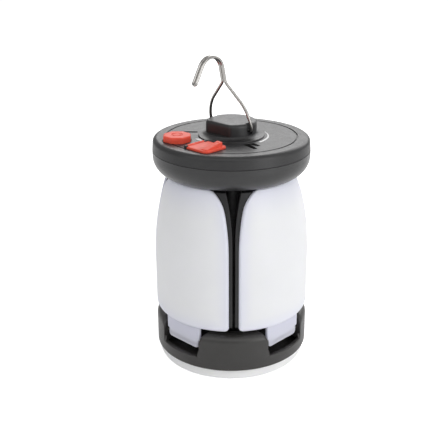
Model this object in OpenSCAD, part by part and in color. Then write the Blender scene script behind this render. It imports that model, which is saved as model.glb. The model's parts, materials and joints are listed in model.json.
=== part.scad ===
// Camping lantern with four fold-out light panels, a wire hanging hook,
// a push button and a hinged port cover.
// Units are millimetres. +Z is up. The origin is on the lantern's axis, in
// the plane it stands on. The gap between the two front panels faces -Y.
// Azimuths are turned about +Z from -Y, so 45 degrees points to +X, -Y.

/* [Node] */
// which sub-part is drawn, or all of them

/* [Base] */
// outside radius of the base ring and of the panels' widest part
body_r = 45.3; // [44.9:0.1:46]
// height of the lamp lens under the base
lens_h = 6.8; // [6:0.1:8]
// height of the base ring's low wall
low_wall_z = 13.6; // [13:0.1:14]
// height of the base ring's four raised tabs
tab_z = 28.2; // [27:0.1:28.6]
// half the width of each notch that a panel's tongue swings through
notch_half = 14.4; // [14:0.1:15]

/* [Panels] */
// height of a panel's lower edge
panel_bot_z = 31.2; // [30.9:0.1:32]
// height of a panel's upper edge
panel_top_z = 113.2; // [112.6:0.1:113.2]
// radius of the curve that draws a panel in towards its top
panel_curve_r = 163.6; // [150:0.5:175]
// height at which that curve starts
panel_curve_z = 64; // [60:0.5:66]
// thickness of the white diffuser
skin_t = 1.7; // [1.4:0.1:1.9]
// distance from the gap's middle plane to a diffuser's edge
skin_gap = 2.9; // [2.6:0.1:3.4]
// distance from the gap's middle plane to a tray's edge
tray_gap = 0.8; // [0.6:0.1:1.2]
// distance of a tray's flat back from the lantern's axis
tray_back = 23; // [22.4:0.1:24]

/* [Panel hinges] */
// distance of the hinge line from the lantern's axis
hinge_d = 38.6; // [38.4:0.1:38.8]
// height of the hinge line
hinge_z = 19.8; // [19.6:0.1:20.2]
// radius of the hinge barrel at the foot of the diffuser
barrel_r = 2.4; // [2.2:0.1:2.5]
// half the width of the diffuser's tongue
tongue_half = 12.1; // [11:0.1:12.3]
// radius of a hinge pin
pin_r = 1.0; // [0.8:0.05:1.1]

/* [Head] */
// widest radius of the head
head_r = 45.0; // [44.8:0.1:45.6]
// height of the head's underside
head_bot_z = 113.9; // [113.8:0.1:114.2]
// height of the line where the head's two shells meet
parting_z = 126.5; // [126:0.1:127]
// height of the head's flat top
head_top_z = 133.8; // [133.6:0.1:134.4]
// radius of the round groove in the head's top
groove_r = 37.2; // [36.8:0.1:37.8]

/* [Hook boss] */
// radius of the boss that carries the hook
boss_r = 14.3; // [13.8:0.1:14.4]
// height of the boss's top
boss_top_z = 143; // [142.5:0.1:144]
// distance of the boss's flat side from the axis
boss_flat = 11.2; // [10.6:0.1:11.6]

/* [Hook] */
// radius of the hook's wire
wire_r = 0.85; // [0.75:0.05:0.9]
// distance of each leg's foot from the axis
leg_half = 15.4; // [15.2:0.1:15.8]
// height of the hook's pivot line
hook_z = 138.7; // [138.4:0.1:138.9]
// how far the hook leans from upright, in degrees
hook_tilt = 12.8; // [0:0.1:20]
// radius of the bent top of the hook
arch_r = 8.4; // [8:0.1:10]

/* [Controls] */
// distance of the power button from the axis
button_r = 32; // [31.8:0.1:32.2]
// azimuth of the power button
button_az = -72; // [-73:0.5:-71]
// distance of the port cover from the axis
port_r = 30.5; // [30.4:0.1:30.8]
// azimuth of the port cover
port_az = -28; // [-28.5:0.5:-27]
// size of the octagonal power button across its flats
button_af = 15.2; // [14.8:0.1:15.6]
// side of the square port cover
cover_w = 16.4; // [16:0.1:16.8]

/* [Hidden] */
$fn = 96;
// azimuths of the boss's flat side and of the hook's pivot line across it
face_az = -45;
hook_az = 45;
panel_az = [-45, 45, 135, -135];
gap_az = [0, 90, 180, 270];
wall = 2.4;
// clearances, each between the two radii or faces of one fit
run = 0.05;
slip = 0.05;

// base heights
floor_z = 9.2;
led_board_t = 1.2;
lens_r = 43.7;
ring_in = 42.7;
tab_in = 36;
tab_fillet = 4.2;
pocket_half = 11;
pin_half = 17.5;
stop_top_z = 16.7;
stop_in = 11.3;
wing_half = 14;
wing_z = 22.5;

// core column, square with rounded corners that face the gaps
core_w = 42;
core_corner = 6;
core_t = 2;
core_boss = 15.4;
cell_r = 9.2;
cell_h = 65;
cell_x = 9.3;
cap_t = 3;

// panel shape
skin_r = body_r - 0.1;
foot_fillet = 3;
lip_in = 36.5;
tray_t = 1.6;
tray_end = 2.4;
flange = 1.1;
led_top = 104;
led_bot = 38;
led_half = 14.4;
magnet_r = 2.5;
magnet_h = 2;
magnet_d = 33;

// head shape; the bowl under the parting line is one arc
bowl_r = 11.05;
bowl_z = 123.5;
bowl_x = head_r - bowl_r;
rim_r = 1.6;
plate_t = 2.2;
lip_t = 1.3;
lip_h = 1.5;
head_screw_r = 33.5;
head_screw_az = [0, 90, 180, 263];
post_r = 3;
post_screw_r = 1.25;
board_z = 122;
board_t = 1.6;
board_r = 30;
board_max_r = 40;
board_post_r = 24;
board_post_az = [45, 165, 285];
skirt_r = 18.8;
skirt_h = 0.8;
button_h = 3.3;
button_travel_gap = 1.0;
cover_t = 1.3;
cover_pivot_z = head_top_z + 0.8;
cover_pivot_x = -8.2;
cover_barrel_r = 1.0;
well_w = 14.4;
plug_w = 13.8;
plug_h = 1.6;
ridge_h = 4.2;

// inner end of each hole that a foot of the hook sits in
hole_in = 8.5;

// hook wire, in the plane of its legs
bend_r = 2;
leg_arc_r = 22;
leg_a = 42.5;
neck_r = 3;
strand_half = 1.08;
wire_fn = 20;
wire_lap = 0.04;
foot_run = 0.6;
pair_top = 35.5;
arch_end = 42.8;
arm_l = 9.45;

// ---- helpers ----

module at_az(a, d = 0)
  rotate([0, 0, a])
    translate([0, -d, 0])
      children();

module rounded_rect(w, h, r) {
  square([w - 2 * r, h], center = true);
  square([w, h - 2 * r], center = true);
  for (x = [-1, 1], y = [-1, 1])
    translate([x * (w / 2 - r), y * (h / 2 - r)])
      circle(r = r, $fn = 48);
}

module screw(head_r, head_h, shank_r, length) {
  // head on z = 0 and below, shank upwards
  translate([0, 0, -head_h])
    difference() {
      cylinder(r = head_r, h = head_h, $fn = 48);
      translate([-head_r * 0.7, -0.3, -0.1])
        cube([head_r * 1.4, 0.6, 0.6]);
      translate([-0.3, -head_r * 0.7, -0.1])
        cube([0.6, head_r * 1.4, 0.6]);
    }
  cylinder(r = shank_r, h = length, $fn = 32);
}

// ---- base ----

module base_lens() {
  edge = 2.6;
  color("white")
    rotate_extrude()
      difference() {
        union() {
          square([lens_r - edge, lens_h]);
          translate([0, edge])
            square([lens_r, lens_h - edge]);
          translate([lens_r - edge, edge])
            circle(r = edge, $fn = 64);
        }
        translate([0, 1.8])
          square([lens_r - 1.8, lens_h]);
        translate([-lens_r, -1])
          square([lens_r, lens_h + 2]);
      }
}

base_screw_d = 14;

module base_led_board() {
  color("ivory")
    difference() {
      translate([0, 0, lens_h - led_board_t])
        cylinder(r = 38, h = led_board_t);
      for (a = panel_az)
        at_az(a, base_screw_d)
          cylinder(r = post_screw_r + slip, h = 20, $fn = 32);
    }
}

module base_leds() {
  color("gold")
    for (a = [0 : 30 : 359])
      at_az(a, 29)
        translate([-1.5, -1.5, lens_h - led_board_t - 0.7])
          cube([3, 3, 0.7]);
}

module base_screws()
  color("silver")
    for (a = panel_az)
      at_az(a, base_screw_d)
        translate([0, 0, lens_h - led_board_t])
          screw(2.4, 1.4, post_screw_r, 8.4);

module tab_profile() {
  // section of a raised tab, with its outer top edge rounded
  translate([tab_in, floor_z - 1])
    square([body_r - tab_fillet - tab_in, tab_z - floor_z + 1]);
  translate([tab_in, floor_z - 1])
    square([body_r - tab_in, tab_z - tab_fillet - floor_z + 1]);
  translate([body_r - tab_fillet, tab_z - tab_fillet])
    circle(r = tab_fillet, $fn = 64);
}

module base_ring() {
  edge = 0.8;
  color("dimgray")
    difference() {
      union() {
        rotate_extrude($fn = 144)
          polygon([[0, lens_h], [body_r - edge, lens_h], [body_r, lens_h + edge],
                   [body_r, low_wall_z - 0.5], [body_r - 0.5, low_wall_z],
                   [ring_in, low_wall_z], [ring_in, floor_z], [0, floor_z]]);
        difference() {
          rotate_extrude($fn = 144)
            tab_profile();
          for (a = panel_az)
            at_az(a)
              translate([-notch_half, -60, floor_z - 2])
                cube([2 * notch_half, 60, 40]);
          for (a = gap_az)
            at_az(a)
              intersection() {
                translate([0, 0, floor_z])
                  cylinder(r = ring_in, h = 40, $fn = 144);
                translate([-pocket_half, -60, 0])
                  cube([2 * pocket_half, 60, 60]);
              }
        }
        // blocks beside the tabs that stop an opened panel
        intersection() {
          cylinder(r = body_r - 0.8, h = 60, $fn = 144);
          for (a = panel_az, s = [0, 1])
            at_az(a)
              mirror([s, 0, 0])
                translate([stop_in, 0, 0])
                  rotate([90, 0, 90])
                    linear_extrude(notch_half - stop_in + 0.5)
                      polygon([[-41.6, floor_z - 1], [-41.6, stop_top_z],
                               [-42.4, stop_top_z], [-43.6, low_wall_z],
                               [-43.6, floor_z - 1]]);
        }
      }
      for (a = panel_az)
        at_az(a, hinge_d)
          translate([-pin_half, 0, hinge_z])
            rotate([0, 90, 0])
              cylinder(r = pin_r + run, h = 2 * pin_half, $fn = 48);
      for (a = panel_az)
        at_az(a, base_screw_d)
          cylinder(r = post_screw_r + slip, h = 20, $fn = 32);
      // wire hole from the base lamp to the column
      cylinder(r = 4, h = 20, $fn = 48);
    }
}

module hinge_pins()
  color("silver")
    for (a = panel_az)
      at_az(a, hinge_d)
        translate([-pin_half + 0.1, 0, hinge_z])
          rotate([0, 90, 0])
            cylinder(r = pin_r, h = 2 * pin_half - 0.2, $fn = 48);

// ---- column ----

module core_column() {
  inner = core_w - 2 * core_t;
  color("black")
    difference() {
      union() {
        translate([0, 0, floor_z])
          rotate([0, 0, 45])
            linear_extrude(head_bot_z - floor_z)
              difference() {
                rounded_rect(core_w, core_w, core_corner);
                rounded_rect(inner, inner, core_corner - core_t);
              }
        translate([0, 0, floor_z])
          rotate([0, 0, 45])
            linear_extrude(2)
              rounded_rect(core_w - 1, core_w - 1, core_corner - 0.5);
        for (a = panel_az)
          at_az(a, base_screw_d)
            translate([0, 0, floor_z])
              cylinder(r = 3, h = 5, $fn = 48);
        for (a = gap_az)
          at_az(a, core_boss * sqrt(2))
            translate([0, 0, head_bot_z - 12])
              cylinder(r = 4, h = 12, $fn = 48);
      }
      for (a = panel_az)
        at_az(a, base_screw_d)
          cylinder(r = post_screw_r + slip, h = 20, $fn = 32);
      for (a = gap_az)
        at_az(a, core_boss * sqrt(2))
          translate([0, 0, head_bot_z - 10])
            cylinder(r = post_screw_r + slip, h = 20, $fn = 32);
      cylinder(r = 4, h = 20, $fn = 48);
    }
}

module column_screws()
  color("silver")
    for (a = gap_az)
      at_az(a, core_boss * sqrt(2))
        translate([0, 0, head_bot_z + wall])
          rotate([180, 0, 0])
            screw(2.4, 1.4, post_screw_r, 10);

cells_z = floor_z + 5 + 0.2 + cap_t;

module battery_caps()
  color("darkslategray")
    for (z = [cells_z - cap_t, cells_z + cell_h])
      translate([0, 0, z])
        rotate([0, 0, 45])
          linear_extrude(cap_t)
            difference() {
              rounded_rect(37.6, 19, 3);
              circle(r = 2.2, $fn = 32);
            }

module battery_cells()
  color("royalblue")
    for (x = [-1, 1])
      rotate([0, 0, 45])
        translate([x * cell_x, 0, cells_z])
          cylinder(r = cell_r, h = cell_h);

module battery_leads()
  color("red")
    for (x = [-1, 1])
      rotate([0, 0, 45])
        translate([x * 4, 0, cells_z + cell_h + cap_t])
          cylinder(r = 0.8, h = board_z - cells_z - cell_h - cap_t, $fn = 24);

// ---- panels ----

// distance of an edge from the gap's middle plane at height z: straight,
// then one arc of radius r1 from z0, then one of radius r2 from z1
function edge_at(z, w0, z0, r1, z1, r2) =
  let (a1 = asin((z1 - z0) / r1), w1 = w0 + r1 * (1 - cos(a1)))
    z <= z0 ? w0
    : z <= z1 ? w0 + r1 - sqrt(r1 * r1 - pow(z - z0, 2))
    : w1 + r2 * cos(a1) - sqrt(r2 * r2 - pow(z - z1 + r2 * sin(a1), 2));

function skin_edge(z) =
  edge_at(z, skin_gap, 78, 130, 101, 20)
  + (z < panel_bot_z + 2.2 ? 2.2 - sqrt(4.84 - pow(panel_bot_z + 2.2 - z, 2)) : 0);

function tray_edge(z) = edge_at(z, tray_gap, 84, 112, 106, 112);

// everything on the far side of a gap edge, as a plate across the panel
module beyond(edge_pts)
  rotate([90, 0, 0])
    linear_extrude(80)
      polygon(concat(edge_pts, [[60, edge_pts[len(edge_pts) - 1][1]],
                                [60, edge_pts[0][1]]]));

module trim(edge_pts)
  for (s = [0, 1])
    mirror([s, 0, 0])
      rotate([0, 0, 45])
        beyond(edge_pts);

// heights at which an edge's curve is sampled, up past the panel's top
edge_end_z = 113.6;
skin_z = [for (i = [0 : 4]) panel_bot_z + 2.2 * (1 - cos(22.5 * i)),
          78, for (i = [1 : 6]) 78 + 23 * i / 6, for (i = [1 : 9]) 101 + i * (edge_end_z - 101) / 9];
skin_pts = concat([[-skin_edge(skin_z[0]), panel_bot_z - 20]],
                  [for (z = skin_z) [-skin_edge(z), z]],
                  [[-skin_edge(edge_end_z) - 4, 120]]);
cut_pts = concat([[-skin_gap - flange, panel_bot_z - 20]],
                 [for (z = skin_z) if (z > panel_bot_z + 2) [-skin_edge(z) - flange, z]],
                 [[-skin_edge(edge_end_z) - flange - 4, 120]]);
tray_pts = concat([[-tray_gap, panel_bot_z - 20], [-tray_gap, 84]],
                  [for (i = [1 : 9]) [-tray_edge(84 + 3.4 * i), 84 + 3.4 * i]]);

// section of a panel's solid of revolution, drawn in from its surface
module panel_section(inset) {
  lo = panel_bot_z + inset;
  hi = panel_top_z - inset;
  f = foot_fillet - inset / 2;
  intersection() {
    union() {
      translate([0, lo + f])
        square([skin_r - inset, hi - lo - f]);
      translate([0, lo])
        square([skin_r - inset - f, hi - lo]);
      translate([skin_r - inset - f, lo + f])
        circle(r = f, $fn = 64);
    }
    union() {
      square([60, panel_curve_z]);
      intersection() {
        translate([skin_r - panel_curve_r, panel_curve_z])
          circle(r = panel_curve_r - inset, $fn = 360);
        translate([0, panel_curve_z - 1])
          square([60, 60]);
      }
    }
  }
}

module panel_skin() {
  color("white")
    difference() {
      union() {
        difference() {
          intersection() {
            rotate([0, 0, -140])
              rotate_extrude(angle = 100)
                difference() {
                  panel_section(0);
                  panel_section(skin_t);
                  square([lip_in, 150]);
                }
            translate([-50, -60, 0])
              cube([100, 60, 150]);
          }
          trim(skin_pts);
        }
        translate([-tongue_half, -(hinge_d + barrel_r), hinge_z])
          cube([2 * tongue_half, 1.8, panel_bot_z + skin_t - hinge_z]);
        // wider layer behind the tongue that fills the notch
        translate([-wing_half, -(hinge_d + 0.8), wing_z])
          cube([2 * wing_half, 1.8, panel_bot_z + skin_t - wing_z]);
        translate([-tongue_half, -hinge_d, hinge_z])
          rotate([0, 90, 0])
            cylinder(r = barrel_r, h = 2 * tongue_half, $fn = 64);
      }
      translate([-tongue_half - 1, -hinge_d, hinge_z])
        rotate([0, 90, 0])
          cylinder(r = pin_r + run, h = 2 * tongue_half + 2, $fn = 48);
    }
}

module panel_tray() {
  inset = skin_t + slip;
  top = panel_top_z - inset;
  color("dimgray")
    difference() {
      intersection() {
        rotate([0, 0, -140])
          rotate_extrude(angle = 100)
            panel_section(inset);
        translate([-50, -60, 0])
          cube([100, 60 - tray_back, 150]);
      }
      trim(tray_pts);
      difference() {
        translate([-50, -60, panel_bot_z + inset + tray_t])
          cube([100, 60 - tray_back - tray_t, top - tray_end - panel_bot_z - inset - tray_t]);
        trim(cut_pts);
      }
      translate([0, -magnet_d, top - magnet_h])
        cylinder(r = magnet_r + slip, h = 5, $fn = 48);
    }
}

module panel_led_board()
  color("ivory")
    translate([-led_half, -(tray_back + tray_t + led_board_t), led_bot])
      cube([2 * led_half, led_board_t, led_top - led_bot]);

module panel_leds()
  color("gold")
    for (x = [-1, 0, 1], i = [0 : 5])
      translate([x * 12 - 1.5, -(tray_back + tray_t + led_board_t + 0.7),
                 led_bot + 6.5 + i * 10])
        cube([3, 0.7, 3]);

module panel_magnet()
  color("silver")
    translate([0, -magnet_d, panel_top_z - skin_t - slip - magnet_h])
      cylinder(r = magnet_r, h = magnet_h, $fn = 48);

// ---- head ----

// lip that centres the upper shell
module square_lip()
  translate([head_r - wall - lip_t - 1, parting_z - 1])
    square([lip_t + 1, lip_h + 1]);

module head_lower_shell() {
  top = head_bot_z + wall;
  color("dimgray")
    difference() {
      union() {
        rotate_extrude($fn = 144)
          difference() {
            union() {
              translate([0, head_bot_z])
                square([bowl_x, bowl_z - head_bot_z]);
              intersection() {
                translate([bowl_x, bowl_z])
                  circle(r = bowl_r, $fn = 144);
                translate([0, head_bot_z])
                  square([60, bowl_z - head_bot_z]);
              }
              translate([0, bowl_z])
                square([head_r, parting_z - bowl_z]);
              square_lip();
            }
            // inside of the bowl
            difference() {
              translate([0, top])
                square([head_r - wall - lip_t, 40]);
              translate([36, top - 1])
                polygon([[0, 0], [20, 0], [20, 6], [5.3, 6]]);
            }
          }
        for (a = board_post_az)
          at_az(a, board_post_r)
            translate([0, 0, top - 0.5])
              cylinder(r = 2.6, h = board_z - top + 0.5, $fn = 48);
      }
      translate([0, 0, head_bot_z - 1])
        cylinder(r = 9, h = 10);
      for (a = board_post_az)
        at_az(a, board_post_r)
          translate([0, 0, top])
            cylinder(r = 1 + slip, h = 20, $fn = 32);
      for (a = gap_az)
        at_az(a, core_boss * sqrt(2))
          translate([0, 0, head_bot_z - 1])
            cylinder(r = post_screw_r + slip, h = 8, $fn = 32);
      for (a = head_screw_az)
        at_az(a, head_screw_r)
          translate([0, 0, head_bot_z - 1]) {
            cylinder(r = post_screw_r + slip, h = 8, $fn = 32);
            cylinder(r = 2.5, h = 2.4, $fn = 48);
          }
      for (a = panel_az)
        at_az(a, magnet_d)
          translate([0, 0, head_bot_z - 1])
            cylinder(r = magnet_r + slip, h = magnet_h - 0.2 + 1, $fn = 48);
    }
}

module keeper_magnets()
  color("silver")
    for (a = panel_az)
      at_az(a, magnet_d)
        translate([0, 0, head_bot_z])
          cylinder(r = magnet_r, h = magnet_h - 0.2, $fn = 48);

module head_screws()
  color("silver")
    for (a = head_screw_az)
      at_az(a, head_screw_r)
        translate([0, 0, head_bot_z + 1.4])
          screw(2.4, 1.4, post_screw_r, 12);

module button_hole_2d(af) {
  // octagon with its flats square to the head's axes, corners rounded
  intersection() {
    square(af, center = true);
    rotate(45)
      square(af, center = true);
    circle(r = af / 2 * 1.045, $fn = 96);
  }
}

module head_upper_shell() {
  under = head_top_z - plate_t;
  slot_l = 15;
  slot_w = 2.2;
  color("dimgray")
    difference() {
      union() {
        rotate_extrude($fn = 144)
          {
            polygon([[0, under], [head_r - wall + slip, under],
                     [head_r - wall + slip, parting_z + 0.1],
                     [head_r - 0.3, parting_z + 0.1], [head_r, parting_z + 0.5],
                     [head_r - 0.5, head_top_z - rim_r],
                     [head_r - 0.5 - rim_r, head_top_z - rim_r],
                     [head_r - 0.5 - rim_r, head_top_z], [0, head_top_z]]);
            intersection() {
              translate([head_r - 0.5 - rim_r, head_top_z - rim_r])
                circle(r = rim_r, $fn = 48);
              translate([head_r - 0.5 - rim_r, head_top_z - rim_r])
                square(rim_r + 1);
            }
          }
        for (a = head_screw_az)
          at_az(a, head_screw_r)
            translate([0, 0, head_bot_z + wall])
              cylinder(r = post_r, h = under - head_bot_z - wall + 0.5, $fn = 48);
        // lugs that hold the port cover's pin
        port_frame()
          for (y = [-1, 1])
            translate([cover_pivot_x - 0.9, y * 7.1 - 0.8, head_top_z - 0.5])
              cube([1.8, 1.6, cover_pivot_z + 0.8 - head_top_z + 0.5]);
      }
      // round groove in the top
      translate([0, 0, head_top_z - 0.6])
        difference() {
          cylinder(r = groove_r + 0.35, h = 2, $fn = 144);
          translate([0, 0, -1])
            cylinder(r = groove_r - 0.35, h = 4, $fn = 144);
        }
      // straight slot behind the button
      translate([-26.8, 8.2, head_top_z - 0.8])
        rotate([0, 0, -4])
          translate([-slot_l / 2, -slot_w / 2, 0])
            cube([slot_l, slot_w, 2]);
      for (a = head_screw_az)
        at_az(a, head_screw_r)
          translate([0, 0, head_bot_z])
            cylinder(r = post_screw_r + slip, h = 14.4, $fn = 32);
      at_az(button_az, button_r)
        rotate([0, 0, -button_az])
          translate([0, 0, under - 1])
            linear_extrude(10)
              button_hole_2d(button_af + 0.4);
      port_frame()
        translate([-well_w / 2, -well_w / 2, under - 1])
          cube([well_w, well_w, 10]);
      port_frame()
        translate([cover_pivot_x, 0, cover_pivot_z])
          rotate([-90, 0, 0]) {
            translate([0, 0, -8])
              cylinder(r = 0.5 + run, h = 16, $fn = 32);
            translate([0, 0, -6.2])
              cylinder(r = cover_barrel_r + 0.15, h = 12.4, $fn = 48);
          }
      for (s = [-1, 1])
        rotate([0, 0, hook_az])
          translate([0, s * 5, under - 1])
            cylinder(r = 1 + slip, h = 10, $fn = 32);
    }
}

// the port's own frame: centred on it, +X away from its hinge
module port_frame()
  at_az(port_az, port_r)
    rotate([0, 0, -port_az - 45])
      children();

module cover_pin()
  color("silver")
    port_frame()
      translate([cover_pivot_x, -7.8, cover_pivot_z])
        rotate([-90, 0, 0])
          cylinder(r = 0.5, h = 15.6, $fn = 32);

module port_cover() {
  edge = cover_w / 2;
  color("tomato")
    port_frame()
      difference() {
        union() {
          // plate, cut short of the hinge line
          intersection() {
            translate([0, 0, head_top_z])
              linear_extrude(cover_t)
                rounded_rect(cover_w, cover_w, 2.6);
            translate([cover_pivot_x + 1.4, -20, head_top_z - 1])
              cube([40, 40, 10]);
          }
          translate([0, 0, head_top_z - plug_h])
            linear_extrude(plug_h + 0.4)
              rounded_rect(plug_w, plug_w, 1.5);
          // finger ridge along the free edge, hollowed on its near side
          translate([edge, edge - 1.6, head_top_z])
            rotate([90, 0, 0])
              linear_extrude(cover_w - 3.2)
                difference() {
                  polygon([[-8.6, 0.4], [-1.0, 0.4], [-1.1, 3.5], [-1.9, ridge_h],
                           [-4.2, ridge_h], [-8.6, cover_t]]);
                  translate([-9.4, 6.7])
                    circle(r = 5.4, $fn = 64);
                }
          // barrel on the hinge line and the strap that joins it
          translate([cover_pivot_x, -6.1, cover_pivot_z])
            rotate([-90, 0, 0])
              cylinder(r = cover_barrel_r, h = 12.2, $fn = 48);
          translate([cover_pivot_x, -6.1, cover_pivot_z - 0.4])
            cube([3, 12.2, head_top_z + cover_t - cover_pivot_z + 0.4]);
        }
        translate([cover_pivot_x, -7, cover_pivot_z])
          rotate([-90, 0, 0])
            cylinder(r = 0.5 + run, h = 14, $fn = 32);
      }
}

module power_button() {
  under = head_top_z - plate_t;
  stem_bot = board_z + board_t + 3.5 + 1.3 + button_travel_gap;
  color("tomato")
    at_az(button_az, button_r)
      rotate([0, 0, -button_az])
        difference() {
          union() {
            translate([0, 0, under - 0.1])
              linear_extrude(plate_t + 0.1 + button_h - 1.2)
                button_hole_2d(button_af);
            translate([0, 0, head_top_z + button_h - 1.2])
              linear_extrude(0.5)
                button_hole_2d(button_af - 0.5);
            translate([0, 0, head_top_z + button_h - 0.7])
              linear_extrude(0.4)
                button_hole_2d(button_af - 1.4);
            translate([0, 0, head_top_z + button_h - 0.3])
              linear_extrude(0.3)
                button_hole_2d(button_af - 2.8);
            translate([0, 0, under - 1])
              linear_extrude(0.9)
                button_hole_2d(button_af + 1.8);
            translate([0, 0, stem_bot])
              cylinder(r = 2, h = under - stem_bot, $fn = 48);
          }
          // ring mark cut in the top
          translate([0, 0, head_top_z + button_h - 0.3])
            difference() {
              cylinder(r = 3.2, h = 1, $fn = 64);
              translate([0, 0, -1])
                cylinder(r = 2.4, h = 3, $fn = 64);
            }
        }
}

module tact_switch()
  color("black")
    at_az(button_az, button_r)
      translate([0, 0, board_z + board_t]) {
        translate([-3, -3, 0])
          cube([6, 6, 3.5]);
        translate([0, 0, 3.4])
          cylinder(r = 1.75, h = 1.4, $fn = 48);
      }

module usb_a_socket()
  color("silver")
    port_frame()
      translate([3.4, 0, board_z + board_t])
        difference() {
          translate([-2.85, -6.55, 0])
            cube([5.7, 13.1, 8.3]);
          translate([-2.45, -6.15, 1])
            cube([1.7, 12.3, 8]);
          translate([1.1, -6.15, 1])
            cube([1.3, 12.3, 8]);
        }

module usb_c_socket()
  color("silver")
    port_frame()
      translate([-4.2, 0, board_z + board_t])
        difference() {
          linear_extrude(8.3)
            rounded_rect(3.26, 8.94, 1.6);
          translate([0, 0, 1])
            linear_extrude(8)
              difference() {
                rounded_rect(2.56, 8.3, 1.27);
                square([0.7, 6.7], center = true);
              }
        }

module main_board()
  color("darkgreen")
    difference() {
      union() {
        translate([0, 0, board_z])
          cylinder(r = board_r, h = board_t);
        // tongues under the button and the port, kept inside the bowl
        intersection() {
          translate([0, 0, board_z])
            cylinder(r = board_max_r, h = board_t);
          union() {
            at_az(button_az)
              translate([-6, -button_r - 5, board_z])
                cube([12, 20, board_t]);
            port_frame()
              translate([-9, -8, board_z])
                cube([18, 16, board_t]);
          }
        }
      }
      for (a = board_post_az)
        at_az(a, board_post_r)
          translate([0, 0, board_z - 1])
            cylinder(r = 1 + slip, h = 5, $fn = 32);
      for (a = head_screw_az)
        at_az(a, head_screw_r)
          translate([0, 0, board_z - 1])
            cylinder(r = post_r + 0.4, h = 5, $fn = 48);
    }

module board_parts()
  color("gray")
    translate([0, 0, board_z + board_t]) {
      translate([4, 4, 0])
        cube([10, 10, 4.8]);
      translate([-6, 6, 0])
        cube([5, 5, 1]);
      translate([12, -9, 0])
        cube([4, 7, 1.4]);
      translate([-15, 12, 0])
        cylinder(r = 3, h = 6, $fn = 48);
      translate([-4, -12, 0])
        cube([8, 5, 1.6]);
    }

module board_screws()
  color("silver")
    for (a = board_post_az)
      at_az(a, board_post_r)
        translate([0, 0, board_z + board_t])
          rotate([180, 0, 0])
            screw(1.9, 1.2, 1, 7);

module hook_boss() {
  fillet = 1.3;
  slot_w = 4.4;
  color("dimgray")
    difference() {
      union() {
        translate([0, 0, head_top_z])
          cylinder(r = skirt_r, h = skirt_h, $fn = 144);
        difference() {
          rotate_extrude($fn = 144)
            difference() {
              union() {
                translate([0, head_top_z])
                  square([boss_r, boss_top_z - fillet - head_top_z]);
                translate([0, head_top_z])
                  square([boss_r - fillet, boss_top_z - head_top_z]);
                translate([boss_r - fillet, boss_top_z - fillet])
                  circle(r = fillet, $fn = 48);
              }
              translate([-30, head_top_z - 1])
                square([30, 30]);
            }
          at_az(face_az)
            translate([-30, -30 - boss_flat, head_top_z + skirt_h])
              cube([60, 30, 30]);
        }
      }
      for (a = [hook_az, hook_az + 180])
        at_az(a) {
          translate([0, -hole_in, hook_z])
            rotate([90, 0, 0])
              cylinder(r = wire_r + run, h = 20, $fn = 48);
          translate([0, -12.2, hook_z])
            rotate([90, 0, 0])
              cylinder(r = slot_w / 2, h = 20, $fn = 48);
          translate([-slot_w / 2, -32.2, hook_z])
            cube([slot_w, 20, 10]);
        }
      for (s = [-1, 1])
        rotate([0, 0, hook_az])
          translate([0, s * 5, head_top_z - 1])
            cylinder(r = 1 + slip, h = 7, $fn = 32);
    }
}

module boss_screws()
  color("silver")
    for (s = [-1, 1])
      rotate([0, 0, hook_az])
        translate([0, s * 5, head_top_z - plate_t])
          screw(1.9, 1.2, 1, 7);

// ---- hook ----

// a bent stretch of wire in the XZ plane: it starts at the origin along +Z
// and turns through angle a towards -X, about a centre r away
module bent(r, a)
  translate([-r, 0, 0])
    rotate([90, 0, 0])
      rotate_extrude(angle = a, $fn = 60)
        translate([r, 0])
          circle(r = wire_r, $fn = wire_fn);

// a straight stretch along +Z, a hair thicker and longer so that it takes in
// the ends of the bends next to it
module straight(length)
  translate([0, 0, -wire_lap])
    cylinder(r = wire_r + 0.01, h = length + 2 * wire_lap, $fn = wire_fn);

// length of the straight run that brings a leg's strand to strand_half
leg_run = (leg_half - strand_half - (leg_arc_r + neck_r) * (1 - cos(leg_a))) / sin(leg_a);
neck_top = bend_r + foot_run + (leg_arc_r + neck_r) * sin(leg_a) + leg_run * cos(leg_a);

// one leg, from its foot on the pivot line up to the neck, on the +X side
module leg() {
  translate([hole_in + 0.3, 0, 0])
    rotate([0, 90, 0])
      straight(leg_half - bend_r - hole_in - 0.3);
  translate([leg_half, 0, bend_r]) {
    mirror([0, 0, 1])
      bent(bend_r, 90);
    straight(foot_run);
  }
  translate([leg_half, 0, bend_r + foot_run]) {
    bent(leg_arc_r, leg_a);
    translate([-leg_arc_r * (1 - cos(leg_a)), 0, leg_arc_r * sin(leg_a)])
      rotate([0, -leg_a, 0]) {
        straight(leg_run);
        translate([0, 0, leg_run])
          mirror([1, 0, 0])
            bent(neck_r, leg_a);
      }
  }
  translate([strand_half, 0, neck_top])
    straight(pair_top - neck_top);
}

// the arch over towards -Y, and the straight arm after it
module crook() {
  translate([strand_half, -arch_r, pair_top])
    rotate([90, 0, 90])
      rotate_extrude(angle = 180 - arch_end, $fn = 60)
        translate([arch_r, 0])
          circle(r = wire_r, $fn = wire_fn);
  translate([strand_half, 0, 0] + arm_foot)
    rotate([180 - arch_end, 0, 0])
      straight(arm_l);
}

arm_foot = [0, -arch_r * (1 + cos(arch_end)), pair_top + arch_r * sin(arch_end)];

module hook_wire()
  color("lightgray")
    translate([0, 0, hook_z])
      rotate([0, 0, hook_az - 90])
        rotate([hook_tilt, 0, 0]) {
          for (s = [0, 1])
            mirror([s, 0, 0]) {
              leg();
              crook();
            }
          // closed turn at the tip that joins the two strands
          translate(arm_foot)
            rotate([180 - arch_end, 0, 0])
              translate([0, 0, arm_l])
                rotate([90, 0, 0])
                  rotate_extrude(angle = 180, $fn = 60)
                    translate([strand_half, 0])
                      circle(r = wire_r, $fn = wire_fn);
        }

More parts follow.
